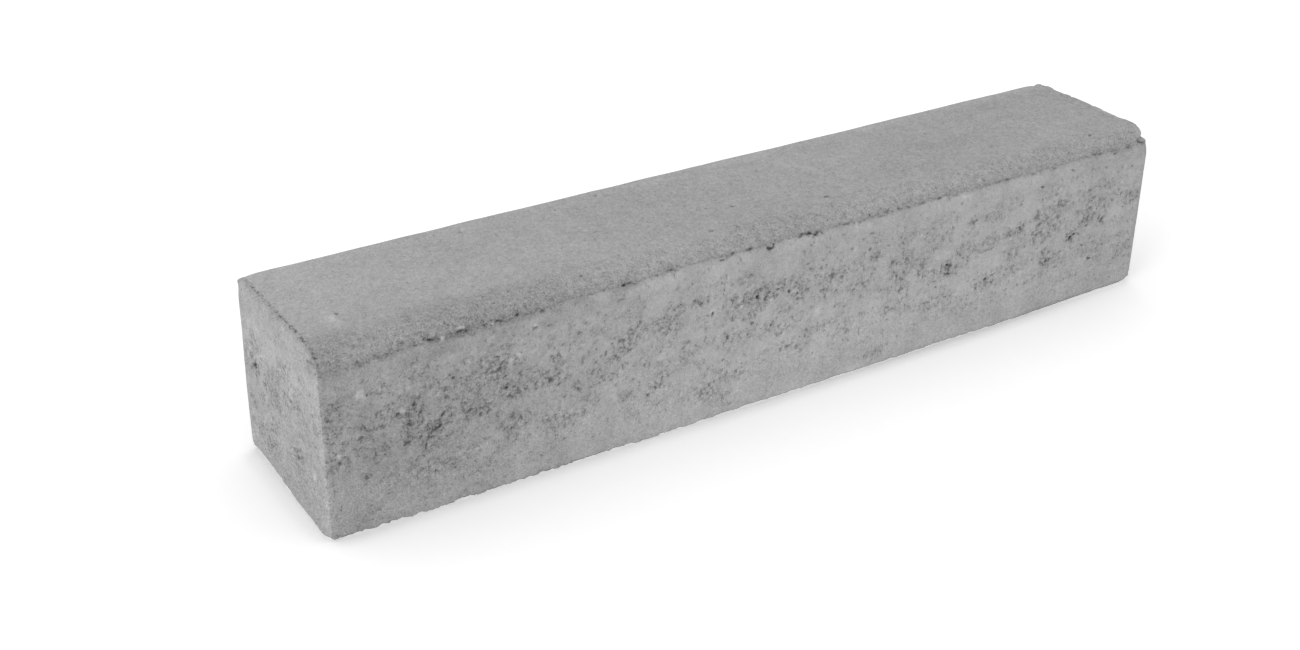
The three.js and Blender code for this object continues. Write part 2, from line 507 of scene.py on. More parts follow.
def scattered_ovals(seed, count, along, up, sizes, strengths):
    """Ovals at random places, up to this far along either way from the middle. up is
    (lowest, highest, most often), and the other pairs are (least, most)."""
    dice = random.Random(seed)
    return [
        (
            dice.uniform(-along, along),
            dice.triangular(*up),
            dice.uniform(*sizes),
            dice.uniform(*sizes) * 0.6,
            dice.uniform(-45, 45),
            dice.uniform(*strengths),
        )
        for _ in range(count)
    ]


# The back and the right end have theirs at random places
BACK_HONEYCOMB = scattered_ovals(
    seed=11, count=85, along=385, up=(12, 125, 80), sizes=(4, 13), strengths=(0.4, 1.0)
)
BACK_PITS = scattered_ovals(
    seed=12, count=75, along=390, up=(10, 132, 78), sizes=(1.0, 2.6), strengths=(0.9, 2.1)
)
RIGHT_HONEYCOMB = scattered_ovals(
    seed=13, count=15, along=66, up=(12, 125, 75), sizes=(5, 12), strengths=(0.35, 0.9)
)
RIGHT_PITS = scattered_ovals(
    seed=14, count=17, along=66, up=(10, 135, 75), sizes=(1.0, 2.8), strengths=(0.9, 2.0)
)


# ---------------------------------------------------------------- formulas written as nodes


def plug(tree, value, slot):
    """Links a formula into a node's slot, or writes a plain value there."""
    if isinstance(value, Formula):
        tree.links.new(value.socket, slot)
    else:
        slot.default_value = value


def add_node(tree, kind, *values, **settings):
    """Adds a node with its settings, and plugs the values into its slots in order."""
    node = tree.nodes.new(kind)
    for name, setting in settings.items():
        setattr(node, name, setting)
    for slot, value in zip(node.inputs, values):
        plug(tree, value, slot)
    return node


class Formula:
    """A value in a tree of nodes, with sums and products written the ordinary way."""

    def __init__(self, tree, socket):
        self.tree = tree
        self.socket = socket

    def work_out(self, kind, *values, **settings):
        """The first result of a new node that takes this value and then the others."""
        node = add_node(self.tree, kind, self, *values, **settings)
        return Formula(self.tree, node.outputs[0])

    def __add__(self, other):
        return self.work_out("ShaderNodeMath", other, operation="ADD")

    def __mul__(self, other):
        return self.work_out("ShaderNodeMath", other, operation="MULTIPLY")

    def __sub__(self, other):
        return self.work_out("ShaderNodeMath", other, operation="SUBTRACT")

    def __rsub__(self, other):
        return self * -1 + other

    __radd__ = __add__
    __rmul__ = __mul__

    def greater(self, other):
        return self.work_out("ShaderNodeMath", other, operation="MAXIMUM")

    def lesser(self, other):
        return self.work_out("ShaderNodeMath", other, operation="MINIMUM")

    def size(self):
        """This value without its sign."""
        return self.work_out("ShaderNodeMath", operation="ABSOLUTE")

    def step(self, start, end, low=0, high=1):
        """Goes smoothly from low, where this is at start, to high, where it is at end."""
        return self.work_out(
            "ShaderNodeMapRange", start, end, low, high, interpolation_type="SMOOTHSTEP"
        )

    def band(self, start, full, last, end):
        """1 where this is between full and last, and 0 before start and past end."""
        return self.step(start, full) * self.step(end, last)

    def across(self):
        """The three parts of a vector."""
        node = add_node(self.tree, "ShaderNodeSeparateXYZ", self)
        return [Formula(self.tree, output) for output in node.outputs]

    def each_part(self, operation, *values):
        """Works on the three parts of a vector at once."""
        return self.work_out("ShaderNodeVectorMath", *values, operation=operation)

    def rescaled(self, factors, shift=(0, 0, 0)):
        return self.each_part("MULTIPLY_ADD", factors, shift)


def cloud(place, size, detail=2.0, roughness=0.5, stretch=(1, 1, 1), seed=0, result=0):
    """Soft random mottling about a half, with features of this many millimetres. Each seed
    reads the noise at another place."""
    factors = [1 / (size * way) for way in stretch]
    shifted = place.rescaled(factors, (17.3 * seed, 5.1 * seed, 9.7 * seed))
    node = add_node(place.tree, "ShaderNodeTexNoise", noise_dimensions="3D")
    plug(place.tree, shifted, node.inputs["Vector"])
    node.inputs["Scale"].default_value = 1
    node.inputs["Detail"].default_value = detail
    node.inputs["Roughness"].default_value = roughness
    return Formula(place.tree, node.outputs[result])


def cells(place, size, seed=0):
    """Scattered points this many millimetres apart: the distance to the nearest, in
    millimetres, and three random numbers that belong to it."""
    shifted = place.rescaled([1 / size] * 3, (3.3 * seed, 7.9 * seed, 1.7 * seed))
    node = add_node(place.tree, "ShaderNodeTexVoronoi", feature="F1")
    plug(place.tree, shifted, node.inputs["Vector"])
    node.inputs["Scale"].default_value = 1
    distance = Formula(place.tree, node.outputs["Distance"]) * size
    return distance, Formula(place.tree, node.outputs["Color"]).across()


def in_use(slots, name):
    """The slot of this name that fits the node's kind of data."""
    return next(slot for slot in slots if slot.name == name and slot.enabled)


def stored(tree, name, kind="FLOAT"):
    """A value stored on the stone, read in the relief's tree or in the material's."""
    if tree.type == "GEOMETRY":
        node = add_node(tree, "GeometryNodeInputNamedAttribute", name, data_type=kind)
        return Formula(tree, in_use(node.outputs, "Attribute"))
    node = add_node(tree, "ShaderNodeAttribute", attribute_name=name)
    return Formula(tree, node.outputs["Vector" if kind == "FLOAT_VECTOR" else "Fac"])


# ---------------------------------------------------------------- patterns of the cast surface


class Surface:
    """The patterns that both the relief and the colour are made from. Places and distances
    are in millimetres, and most patterns go from 0, where they aren't, to 1."""

    def __init__(self, tree):
        self.place = stored(tree, "place", "FLOAT_VECTOR")
        self.honeycomb = stored(tree, "honeycomb")
        self.pit = stored(tree, "pit")
        self.pale = stored(tree, "pale")
        self.chip = stored(tree, "chip")
        self.ledge = stored(tree, "ledge")
        self.x, self.y, self.z = self.place.across()
        self.to_end = HALF_LENGTH - self.x.size()
        self.to_side = (self.y + HALF_WIDTH).lesser(HALF_WIDTH - self.y)
        self.find_faces()
        self.find_parting()
        self.find_openness()
        self.find_hollows()
        self.find_pores()
        self.find_crumbs()

    def find_faces(self):
        """The front, the left end, the long faces but not the ends, the upright arrises at
        the four corners, and the left third, where the mix was loose."""
        self.on_front = self.y.step(-50, -60)
        self.left_end = (self.x + HALF_LENGTH).step(4, 1.5)
        self.long_face = (self.to_end - self.to_side.lesser(3)).step(-0.8, 1)
        self.upright = (self.to_end + self.to_side).step(8, 5.5)
        self.loose = self.x.step(-160, -280)

    def find_parting(self):
        """How far above the wavering parting line a place is, how far outside the shoe's
        ends, and which parts the shoe formed and which the mould wall."""
        waver = cloud(self.place, size=5, detail=3, roughness=0.7, seed=3) - 0.5
        self.line = self.z - (waver * (self.loose * 4 + 2.4) + self.ledge)
        self.end_line = self.x.size() - (waver * 2.5 + SHOE_END)

        # The ledge is crisp, except at the left corner, where it fades out
        self.clear = self.x.step(-380, -345)
        rim = self.line * (self.clear * 0.85 + 0.15)
        self.on_shoe = rim.step(-0.4, 0.6) * self.end_line.step(0.6, -0.6)
        self.on_wall = 1 - self.on_shoe
        self.near_line = self.line.band(-4.5, -0.5, 1, 9) * self.on_front

        # The nose is sandy. The nose and the front are damp towards the left.
        self.sandy = self.y.step(-38, -64) * self.on_shoe
        self.damp = self.x.step(-100, -330) * self.y.step(-25, -62) * self.long_face

    def find_openness(self):
        """How open the concrete is, from closed skin at 0 to honeycomb at 1."""
        ragged = cloud(self.place, size=7, detail=3, roughness=0.7, seed=8)
        painted = self.honeycomb * ragged.step(0.38, 0.56, 0.2, 1.2)

        # Faint patches between the painted ones, but not at the front's corners
        flat = (1.6, 1.6, 0.8)
        patch = cloud(self.place, size=22, detail=3, roughness=0.65, stretch=flat, seed=1)
        quiet_foot = self.x.step(-320, -345) * self.z.step(62, 50) * 0.7
        drifts = (patch.step(0.42, 0.62) * 0.5 + self.damp * 0.15) * (1 - quiet_foot)
        plain_corner = self.to_end.step(8, 4) * self.y.step(-35, -58)
        drifts *= self.z.band(10, 40, 112, 132)
        drifts *= 1 - plain_corner

        walls = painted.greater(drifts) * self.on_wall
        walls *= 1 - self.upright * 0.8 * (1 - self.long_face)
        self.coarse = (walls + self.sandy * 0.12 + self.near_line * self.loose * 0.2).lesser(1)

    def find_hollows(self):
        """Where the skin is missing, and the ragged hollows between the grains there."""
        self.grains = cloud(self.place, size=4.1, detail=3, roughness=0.8, seed=2)
        skin = self.coarse * 0.18 + 0.35
        self.bare = self.grains.step(skin + 0.05, skin - 0.03)
        deep = self.coarse * 0.085 + 0.34
        self.cavity = self.grains.step(deep + 0.02, deep - 0.05)

    def find_pores(self):
        """Single round air holes, and pale grains of sand that sit in the skin."""
        distance, (chance, width, _) = cells(self.place, size=5.2, seed=4)
        dent = distance - (width * 0.5 + 0.3)
        often = chance.step(0.84, 0.9) * self.on_wall * (self.coarse + 0.45)
        seldom = chance.step(0.95, 0.97) * self.on_shoe
        self.pore = dent.step(0.3, -0.3) * (often + seldom).lesser(1)
        here = chance.step(0.07, 0.03) * (self.coarse * 1.2 + 0.15)
        self.pebble = dent.step(0.3, -0.2) * here

    def find_crumbs(self):
        """The crumbly lines where the shoe's rim met the mould wall."""
        crumbs = cloud(self.place, size=2.6, detail=3, roughness=0.75, seed=5)
        off_line = self.line.size()
        thin = off_line.step(1.5, 0.2) * self.on_front * crumbs.step(0.53, 0.4, 0, 1.2)
        wide = off_line.step(4.5, 0.5) * self.on_front * crumbs.step(0.5, 0.4)
        wide *= self.chip * 0.8 + self.loose * 0.2
        chipped = thin * (self.chip * 0.7 + 0.3)
        chipped = chipped.greater(wide) * self.clear

        # Along the ends' top arrises, where it is strongest at the left
        high = self.z.step(138, 149, 0.25, 1) * self.z.step(112, 130)
        end = self.end_line.size().step(2, 0.3) * high * self.x.step(-300, 300, 1, 0.3)
        end *= crumbs.step(0.48, 0.4, 0, 1.4)
        self.crumb = chipped.greater(end).lesser(1.4)


# ---------------------------------------------------------------- shaping by hand


def start_block():
    """A plain block of the stone's own size."""
    bpy.ops.object.select_all(action="DESELECT")
    bpy.ops.mesh.primitive_cube_add(size=1, location=(LOW + HIGH) / 2, scale=HIGH - LOW)
    bpy.ops.object.transform_apply(location=True, rotation=True, scale=True)
    block = bpy.context.object
    block.name = "pressed_kerb_stone"
    block.data.name = "pressed_kerb_stone"
    return block


def near(a, b):
    """Whether two coordinates are the same but for rounding."""
    return abs(a - b) < 0.01 * MM


def pick_edges(block, wanted):
    """Selects the edges whose middle is wanted, and leaves edit mode on."""
    bpy.ops.object.mode_set(mode="EDIT")
    bpy.ops.mesh.select_mode(type="EDGE")
    bpy.ops.mesh.select_all(action="DESELECT")
    shape = bmesh.from_edit_mesh(block.data)
    for edge in shape.edges:
        edge.select_set(wanted((edge.verts[0].co + edge.verts[1].co) / 2))
    bmesh.update_edit_mesh(block.data)


def round_nose(block):
    """Rounds the front of the top, as the mould wall does below the ledge."""
    pick_edges(block, lambda p: near(p.y, LOW.y) and near(p.z, HIGH.z))
    bpy.ops.mesh.bevel(
        offset=LIP_RADIUS * MM, segments=NOSE_SEGMENTS, profile=0.5, affect="EDGES"
    )
    bpy.ops.object.mode_set(mode="OBJECT")


def end_arris(point):
    """The radius of the arris at this place on an end's rim: widest up the front and along
    the bed, and narrowing round the nose."""
    if near(point.z, LOW.z):
        return FOOT_ARRIS
    turned = min(max(1 - (point.y - LOW.y) / (LIP_RADIUS * MM), 0), 1)
    return END_ARRIS + (UPRIGHT_ARRIS - END_ARRIS) * turned * turned


def round_arrises(block):
    """Rounds both ends all round, the back of the top and the bed's long edges. Each edge
    has its radius as its weight, and one bevel then rounds them all."""
    arrises = [
        (BACK_ARRIS, lambda p: near(p.y, HIGH.y) and near(p.z, HIGH.z)),
        (BED_ARRIS, lambda p: near(abs(p.y), HIGH.y) and near(p.z, LOW.z)),
    ]
    widening = (UPRIGHT_ARRIS - END_ARRIS) / ARRIS_STEPS
    for step in range(ARRIS_STEPS + 1):
        radius = END_ARRIS + widening * step
        arrises.append((radius, lambda p, radius=radius: on_rim(p, radius, widening / 2)))
    for radius, wanted in arrises:
        pick_edges(block, wanted)
        bpy.ops.transform.edge_bevelweight(value=radius / BACK_ARRIS)
        bpy.ops.object.mode_set(mode="OBJECT")
    apply_modifier(
        block,
        "BEVEL",
        limit_method="WEIGHT",
        width=BACK_ARRIS * MM,
        segments=ARRIS_SEGMENTS,
        use_clamp_overlap=False,
    )


def on_rim(point, radius, slack):
    """Whether this place on an end's rim has about this radius."""
    return near(abs(point.x), HIGH.x) and abs(end_arris(point) - radius) <= slack


def apply_modifier(piece, kind, **settings):
    modifier = piece.modifiers.new(kind.lower(), kind)
    for name, value in settings.items():
        setattr(modifier, name, value)
    bpy.context.view_layer.objects.active = piece
    bpy.ops.object.modifier_apply(modifier=modifier.name)


def apply_nodes(piece, name, build):
    """Applies a modifier of nodes. build(tree, geometry) gives the finished geometry's
    socket."""
    tree = bpy.data.node_groups.new(name, "GeometryNodeTree")
    for way in ("INPUT", "OUTPUT"):
        tree.interface.new_socket("Geometry", in_out=way, socket_type="NodeSocketGeometry")
    start = tree.nodes.new("NodeGroupInput")
    end = tree.nodes.new("NodeGroupOutput")
    tree.links.new(build(tree, start.outputs[0]), end.inputs[0])
    apply_modifier(piece, "NODES", node_group=tree)


# ---------------------------------------------------------------- painting the stone's places

RAGGED = 2.6  # the size of the wobble that makes painted outlines ragged
OVAL_FULL = 0.75  # an oval is at full strength out to this part of its size
OVAL_END = 1.75  # and gone here


def store(tree, geometry, name, value):
    """Stores a vector on every point of the geometry."""
    node = add_node(tree, "GeometryNodeStoreNamedAttribute", data_type="FLOAT_VECTOR")
    tree.links.new(geometry, node.inputs["Geometry"])
    node.inputs["Name"].default_value = name
    plug(tree, value, in_use(node.inputs, "Value"))
    return node.outputs["Geometry"]


def lay_out(tree, geometry):
    """Stores every point's place in millimetres, and a ragged copy of it to paint by."""
    position = Formula(tree, tree.nodes.new("GeometryNodeInputPosition").outputs[0])
    place = position.rescaled([1 / MM] * 3)
    wobble = cloud(place, RAGGED, result="Color").rescaled([RAGGED] * 3, [-RAGGED / 2] * 3)
    geometry = store(tree, geometry, "place", place)
    return store(tree, geometry, "ragged", place.each_part("ADD", wobble))


def soft_oval(along, up, oval):
    """How strongly one oval covers each point."""
    centre_along, centre_up, long, short, tilt, strength = oval
    turn = math.radians(tilt)
    a = along - centre_along
    b = up - centre_up
    u = (a * math.cos(turn) + b * math.sin(turn)) / long
    v = (b * math.cos(turn) - a * math.sin(turn)) / short
    cover = np.clip((OVAL_END - np.hypot(u, v)) / (OVAL_END - OVAL_FULL), 0, 1)
    return strength * cover * cover * (3 - 2 * cover)


def read_points(piece, name):
    """A vector that is stored on every point, as three rows."""
    values = np.empty(len(piece.data.vertices) * 3, dtype=np.float32)
    piece.data.attributes[name].data.foreach_get("vector", values)
    return values.reshape(-1, 3).T


def write_points(piece, name, values):
    piece.data.attributes.new(name, "FLOAT", "POINT").data.foreach_set("value", values)


def paint(piece):
    """Paints where the concrete stayed open, where single pits and pale grains are, with painted
    highlights among those on the ledge, how high the parting ledge runs and where it is chipped."""
    x, y, z = read_points(piece, "place")
    ragged_x, ragged_y, ragged_z = read_points(piece, "ragged")

    # Each face with some of its arrises, and the two ways across it, along and up
    front = ((y < -60) & (z < 146), ragged_x, ragged_z)
    back = (y > 68, ragged_x, ragged_z)
    left = (x < 6 - HALF_LENGTH, ragged_y, ragged_z)
    right = (x > HALF_LENGTH - 6, ragged_y, ragged_z)
    top = (z > 146, ragged_x, ragged_y)
    ovals_of = {
        "honeycomb": [
            (front, FRONT_HONEYCOMB),
            (left, LEFT_HONEYCOMB),
            (back, BACK_HONEYCOMB),
            (right, RIGHT_HONEYCOMB),
        ],
        "pit": [
            (front, FRONT_PITS + LEDGE_PITS),
            (left, LEFT_PITS),
            (top, TOP_PITS),
            (back, BACK_PITS),
            (right, RIGHT_PITS),
        ],
        "pale": [
            (front, FRONT_PALE),
            (left, LEFT_PALE),
            (top, TOP_PALE),
        ],
    }
    for name, faces in ovals_of.items():
        layer = np.zeros(len(x), dtype=np.float32)
        for (face, along, up), ovals in faces:
            for oval in ovals:
                centre_along, centre_up, long, short = oval[:4]
                reach = OVAL_END * max(long, short)
                close = face & (abs(along - centre_along) < reach)
                close = close & (abs(up - centre_up) < reach)
                cover = soft_oval(along[close], up[close], oval)
                layer[close] = np.maximum(layer[close], cover)
        write_points(piece, name, layer)

    write_points(piece, "ledge", np.interp(x, *zip(*LEDGE_LINE)).astype(np.float32))
    chips = np.zeros(len(x), dtype=np.float32)
    for centre, half, strength in LEDGE_CHIPS:
        cover = np.clip(1.4 - abs(ragged_x - centre) / half, 0, 1)
        chips = np.maximum(chips, strength * cover)
    write_points(piece, "chip", chips)


# ---------------------------------------------------------------- pressing the relief in

# How deep each part of the relief goes, in millimetres
BARE_DEPTH = 0.22  # where the skin is missing
CAVITY_DEPTH = 0.3  # the hollows between grains, and how much deeper they are in honeycomb
CAVITY_DEEPER = 0.1
OPEN_DEPTH = 0.25  # honeycomb as a whole
PORE_DEPTH = 0.6
PIT_DEPTH = 0.8
WAVINESS = 0.5
GRIT = 2.3  # how far the grains of honeycomb stand out, from the least to the most


def hollow_depth(surface):
    """How deep the honeycomb, pores, single pits and broken-out crumbs go."""
    cavities = surface.cavity * (surface.coarse * CAVITY_DEEPER + CAVITY_DEPTH)
    hollows = surface.bare * BARE_DEPTH + cavities
    hollows += surface.coarse * OPEN_DEPTH
    depth = hollows.greater(surface.pore * PORE_DEPTH).greater(surface.pit * PIT_DEPTH)
    return depth.greater(surface.crumb)


def arris_wear(surface, scallop):
    """How far each arris is worn in past the mould's even rounding, or stands sharper."""
    x, y, z = surface.x, surface.y, surface.z
    left = x + HALF_LENGTH
    right = HALF_LENGTH - x
    front = y + HALF_WIDTH
    back = HALF_WIDTH - y
    top = HEIGHT - z

    # Along the bed: scalloped, most deeply at the left, and nearly sharp at the right
    wavy = scallop.step(0.38, 0.62, -1, 1) * x.step(-200, -40, 1.05, 0.5)
    wavy = wavy * left.step(2, 12, 0.4, 1) - 0.25
    on_bed = (z + surface.to_side.lesser(surface.to_end)).step(8, 2)
    wear = on_bed * (wavy - x.step(180, 300, 0, 1.2))

    # Arrises and then corners: (distance off, where the wear starts, where it is full, depth)
    places = [
        (z + left, 12, 4, y.step(-50, 60, -2.3, 1.3)),
        (back + top, 10, 4, x.step(-250, 290, -0.9, 0.8)),
        (left + back, 8, 3, z.step(15, 135, -1.3, 0.7)),
        (right + top, 8, 3, scallop.step(0.4, 0.6, -2.1, -0.8)),
        (right + front, 10, 3, z.step(130, 60, 0, -0.5)),
        (left + front + z, 20, 6, 2.2),
        (right + front + z, 18, 6, 0.8),
        (right + back + top, 22, 6, 2.5),
        (left + back + top, 22, 6, 0.9),
    ]
    for distance, start, full, depth in places:
        wear += distance.step(start, full) * depth

    # The right end of the ledge: a nick in the front's arris, over a crumb that stands out
    for height, depth in ((142.7, 1.8), (139.5, -0.7)):
        off_height = (z - height).size() * 3
        wear += (right + off_height).step(9, 3) * surface.on_front * depth
    return wear


def lift_bed(surface, scallop, spot):
    """Breaks the bed away upwards, at the right of its front edge and at the left foot."""
    x, y = surface.x, surface.y
    chips = scallop.step(0.5, 0.62, 0, 1.2) * x.step(-60, -200, 0.3, 1)
    right_corner = x.step(200, 370, 0, 2.6) + x.step(384, 402, 0, 5)
    front_lift = (right_corner + chips) * y.step(-52, -66)
    foot = y.step(-45, 60, 0, 2) + y.step(58, 76, 0, 3) + chips * 0.25
    left_lift = foot * (x + HALF_LENGTH).step(24, 9)

    # A little of the old height keeps what is lifted in its order, so no points coincide
    spot_x, spot_y, spot_z = spot.across()
    kept = spot_z * 0.05
    lifted = spot_z.greater(front_lift + kept).greater(left_lift + kept)
    moved = add_node(spot.tree, "ShaderNodeCombineXYZ", spot_x, spot_y, lifted)
    return Formula(spot.tree, moved.outputs[0])


def press(tree, geometry):
    """Sinks the relief into the block along its own normals, but not into the bed."""
    surface = Surface(tree)
    normal = Formula(tree, tree.nodes.new("GeometryNodeInputNormal").outputs[0])
    _, normal_y, normal_z = normal.across()

    # Above the ledge the nose has the shoe's rounder shape
    rounding = (normal_z - normal_y - 1).greater(0) * (NOSE_RADIUS - LIP_RADIUS)
    depth = rounding * surface.line.step(-0.4, 0.6) + hollow_depth(surface)

    scallop = cloud(surface.place, size=11, detail=4, roughness=0.7, seed=6)
    depth += arris_wear(surface, scallop)
    waves = cloud(surface.place, size=55, seed=7)
    depth += waves.step(0.3, 0.7, 0, WAVINESS)
    depth -= (surface.grains - 0.5) * (surface.coarse * GRIT)
    depth *= normal_z.step(-0.98, -0.9)

    spot = normal.each_part("MULTIPLY_ADD", depth * -1, surface.place)
    spot = lift_bed(surface, scallop, spot)
    spot = spot.each_part("MAXIMUM", LOW / MM).each_part("MINIMUM", HIGH / MM)
    node = tree.nodes.new("GeometryNodeSetPosition")
    tree.links.new(geometry, node.inputs["Geometry"])
    plug(tree, spot.rescaled([MM] * 3), node.inputs["Position"])
    return node.outputs["Geometry"]


def make_stone():
    stone = start_block()
    round_nose(stone)
    round_arrises(stone)
    apply_modifier(stone, "REMESH", mode="VOXEL", voxel_size=VOXEL * MM)
    apply_nodes(stone, "lay_out", lay_out)
    paint(stone)
    apply_nodes(stone, "press", press)
    stone.data.attributes.remove(stone.data.attributes["ragged"])
    triangles = 2 * len(stone.data.polygons)
    apply_modifier(stone, "DECIMATE", ratio=FINISHED_TRIANGLES / triangles)
    bpy.ops.object.shade_smooth()
    return stone


# ---------------------------------------------------------------- the concrete's finish

SKIN_GREY = 0.372  # closed skin where its tone is 1
PALE_GRAIN = 0.16  # how much paler than the skin pale grains and the ledge's painted highlights are
PEBBLE = 0.15  # and the sand that sits in it
OPEN_DARKER = 0.26  # what honeycomb takes from the tone
DARKEST_HOLLOW = 0.8


def sand_tone(surface, speckle):
    """The skin's tone about 1, from its speckle of sand to its slow mottling."""
    place = surface.place
    on_wall = surface.on_wall
    on_shoe = surface.on_shoe
    coarse = surface.coarse
    foot = on_wall * surface.z.step(55, 35)

    batches = cloud(place, size=26, roughness=0.6, seed=26)
    uneven = batches.step(0.38, 0.64, 0.75, 1.3)
    speckled = (on_shoe + surface.sandy) * 0.13 * uneven + 0.72
    speckled += coarse * 0.3 + surface.left_end * 0.35 + foot * 0.3
    tone = speckle * speckled + 1

    mottle = cloud(place, size=28, detail=1, roughness=1, seed=24) - 0.5
    tone += mottle * (on_wall * 0.2 + 0.2)
    grain = cloud(place, size=5, roughness=1, seed=21) - 0.5
    tone += grain * ((on_shoe + surface.sandy) * 0.3 + foot * 0.15 + 0.3)
    drift = cloud(place, size=90, stretch=(2, 1, 1), seed=22) - 0.5
    tone += drift * 0.2

    # Upright streaks on the walls, and sweeps across the top at its right
    streak = cloud(place, size=1.6, stretch=(1, 1, 22), seed=23) - 0.5
    tone += streak * on_wall * 0.12
    sweep = cloud(place, size=13, detail=1, stretch=(1, 5, 1), seed=28) - 0.5
    tone += sweep * on_shoe * surface.x.step(-100, 120) * 0.09

    # Open concrete is blotchy and darker
    # Its tone follows the grit: painted shade where the grains sink, paler where they stand out
    tone += (surface.grains - 0.5) * (coarse * 1.2 + on_wall * 0.35)
    blotch = cloud(place, size=7, roughness=0.7, seed=27) - 0.5
    tone += blotch * (coarse * 0.9 + on_wall * 0.3)
    return tone - coarse * OPEN_DARKER


def patches_and_painted_shade(surface):
    """Added to the tone: paler and darker patches, damp at the left, painted shade by the ledge.
    """
    x, y, z = surface.x, surface.y, surface.z
    on_wall = surface.on_wall
    on_shoe = surface.on_shoe

    # The middle of the long walls is paler, most at its foot
    pale_middle = x.band(-350, -140, 210, 410) * surface.to_side.step(8, 2) * on_wall
    tone = pale_middle * z.step(125, 50, 0.07, 0.13) + 0.01
    tone += z.band(15, 35, 50, 80) * x.band(-150, 0, 190, 300) * 0.06

    # Painted shade on the wall under the ledge, with a paler patch at its left
    shaded = x.step(-50, -130) * 0.075 + x.step(-215, -245) * 0.03
    shaded = shaded * x.step(-370, -300) + x.step(230, 330) * 0.05
    tone -= z.step(120, 130) * on_wall * shaded
    tone += z.band(85, 105, 122, 130) * x.step(-250, -320) * 0.095
    # Damper towards the left
    tone -= surface.damp * (on_wall * 0.06 + 0.07)
    # Painted shade along the parting ledge
    tone -= surface.near_line * 0.08
    # Darker beside the upright arrises, at the left corner and foot, and low on the left end
    tone -= surface.upright * surface.long_face * 0.05
    left_edge = x.step(-370, -388) * z.step(80, 110) * y.step(-50, -66)
    tone -= left_edge * surface.long_face * 0.1
    tone -= z.step(40, 20) * x.step(-330, -370) * on_wall * 0.03
    tone += surface.left_end * z.step(95, 135, -0.035, -0.012)

    # The top is paler at its left and along its back, and darker towards its right
    pale_left_top = x.step(-250, -385) * y.step(-62, 10)
    tone += on_shoe * pale_left_top * 0.12
    tone -= on_shoe * x.step(-350, 250, 0.01, 0.06)
    tone += on_shoe * y.step(50, 64) * x.step(-150, 50, 0.04, 0.09)

    # The sandy nose is rough and dark at the left, and paler in the middle
    rough = x.band(-340, -290, -240, -90) * y.step(-34, -50)
    tone -= on_shoe * rough * 0.1
    return tone + surface.sandy * (x.band(30, 60, 120, 260) * 0.05 - 0.02)


def hollow_shade(surface):
    """How much light is lost in the hollows, pores, crumbled places and single pits."""
    hollow = surface.bare * 0.06 + surface.cavity * 0.1
    hollow += surface.pore * 0.2 + surface.crumb * 0.28
    pits = surface.pit * (surface.pit * 0.17 + 0.1)
    return hollow.greater(pits).lesser(DARKEST_HOLLOW)


def fine_relief(surface):
    """Grains and pores too small for the mesh, in millimetres."""
    fine = cloud(surface.place, size=0.9, roughness=0.6, seed=25)
    height = fine * (surface.coarse * 0.3 + surface.sandy * 0.25 + 0.2)
    height += surface.pebble * 0.3
    return height - (surface.cavity + surface.crumb) * 0.4


def concrete():
    """Grey pressed concrete, its colour and roughness read from the relief's patterns."""
    material = bpy.data.materials.new("pressed_concrete")
    material.use_nodes = True
    tree = material.node_tree
    shader = tree.nodes["Principled BSDF"]
    surface = Surface(tree)

    sand = cloud(
        surface.place, size=1.3, detail=1, roughness=1, stretch=(1, 1.4, 1), seed=20
    )
    speckle = sand - 0.5
    tone = sand_tone(surface, speckle) + patches_and_painted_shade(surface)
    grey = tone * (1 - hollow_shade(surface)) * SKIN_GREY
    grey += surface.pale * PALE_GRAIN + surface.pebble * PEBBLE
    colour = add_node(tree, "ShaderNodeCombineXYZ", grey, grey, grey)
    tree.links.new(colour.outputs[0], shader.inputs["Base Color"])

    roughness = (speckle * 0.3 + surface.coarse * 0.06 + 0.86).lesser(1)
    plug(tree, roughness, shader.inputs["Roughness"])
    shader.inputs["Specular IOR Level"].default_value = 0.3

    bump = tree.nodes.new("ShaderNodeBump")
    bump.inputs["Strength"].default_value = 1
    bump.inputs["Distance"].default_value = MM
    plug(tree, fine_relief(surface), bump.inputs["Height"])
    tree.links.new(bump.outputs["Normal"], shader.inputs["Normal"])
    return material


# ---------------------------------------------------------------- floor, light and camera

FLOOR_SIDE = 14
FLOOR_DROP = 0.1 * MM
FLOOR_GREY = 0.85
FLOOR_SHOWN = 1.2  # the floor that is seen, pale enough to come out white
CREVICE = 20 * MM  # how near the stone the floor is darkened
GAP_GLOW = 0.45  # painted glow on the floor under the bed's broken edge

SKY = 0.88
SOFTBOX_PLACE = Vector((-5.4, -2.2, 1.5))
SOFTBOX_AIM = Vector((0, 0, 0.1))
SOFTBOX_SIDE = 2.4
SOFTBOX_POWER = 100

CAMERA_PLACE = Vector((-768.1, -1065.1, 732.9)) * MM
CAMERA_YAW = math.radians(32.773)
CAMERA_PITCH = math.radians(28.184)
CAMERA_ROLL = math.radians(0.627)
CAMERA_LENS = 48.636
SENSOR_WIDTH = 36


def seen_directly(tree):
    """1 for the camera's own rays and for those that mirrors and glass send on."""
    path = tree.nodes.new("ShaderNodeLightPath")
    names = ("Is Camera Ray", "Is Glossy Ray", "Is Transmission Ray")
    rays = [Formula(tree, path.outputs[name]) for name in names]
    return rays[0].greater(rays[1]).greater(rays[2])


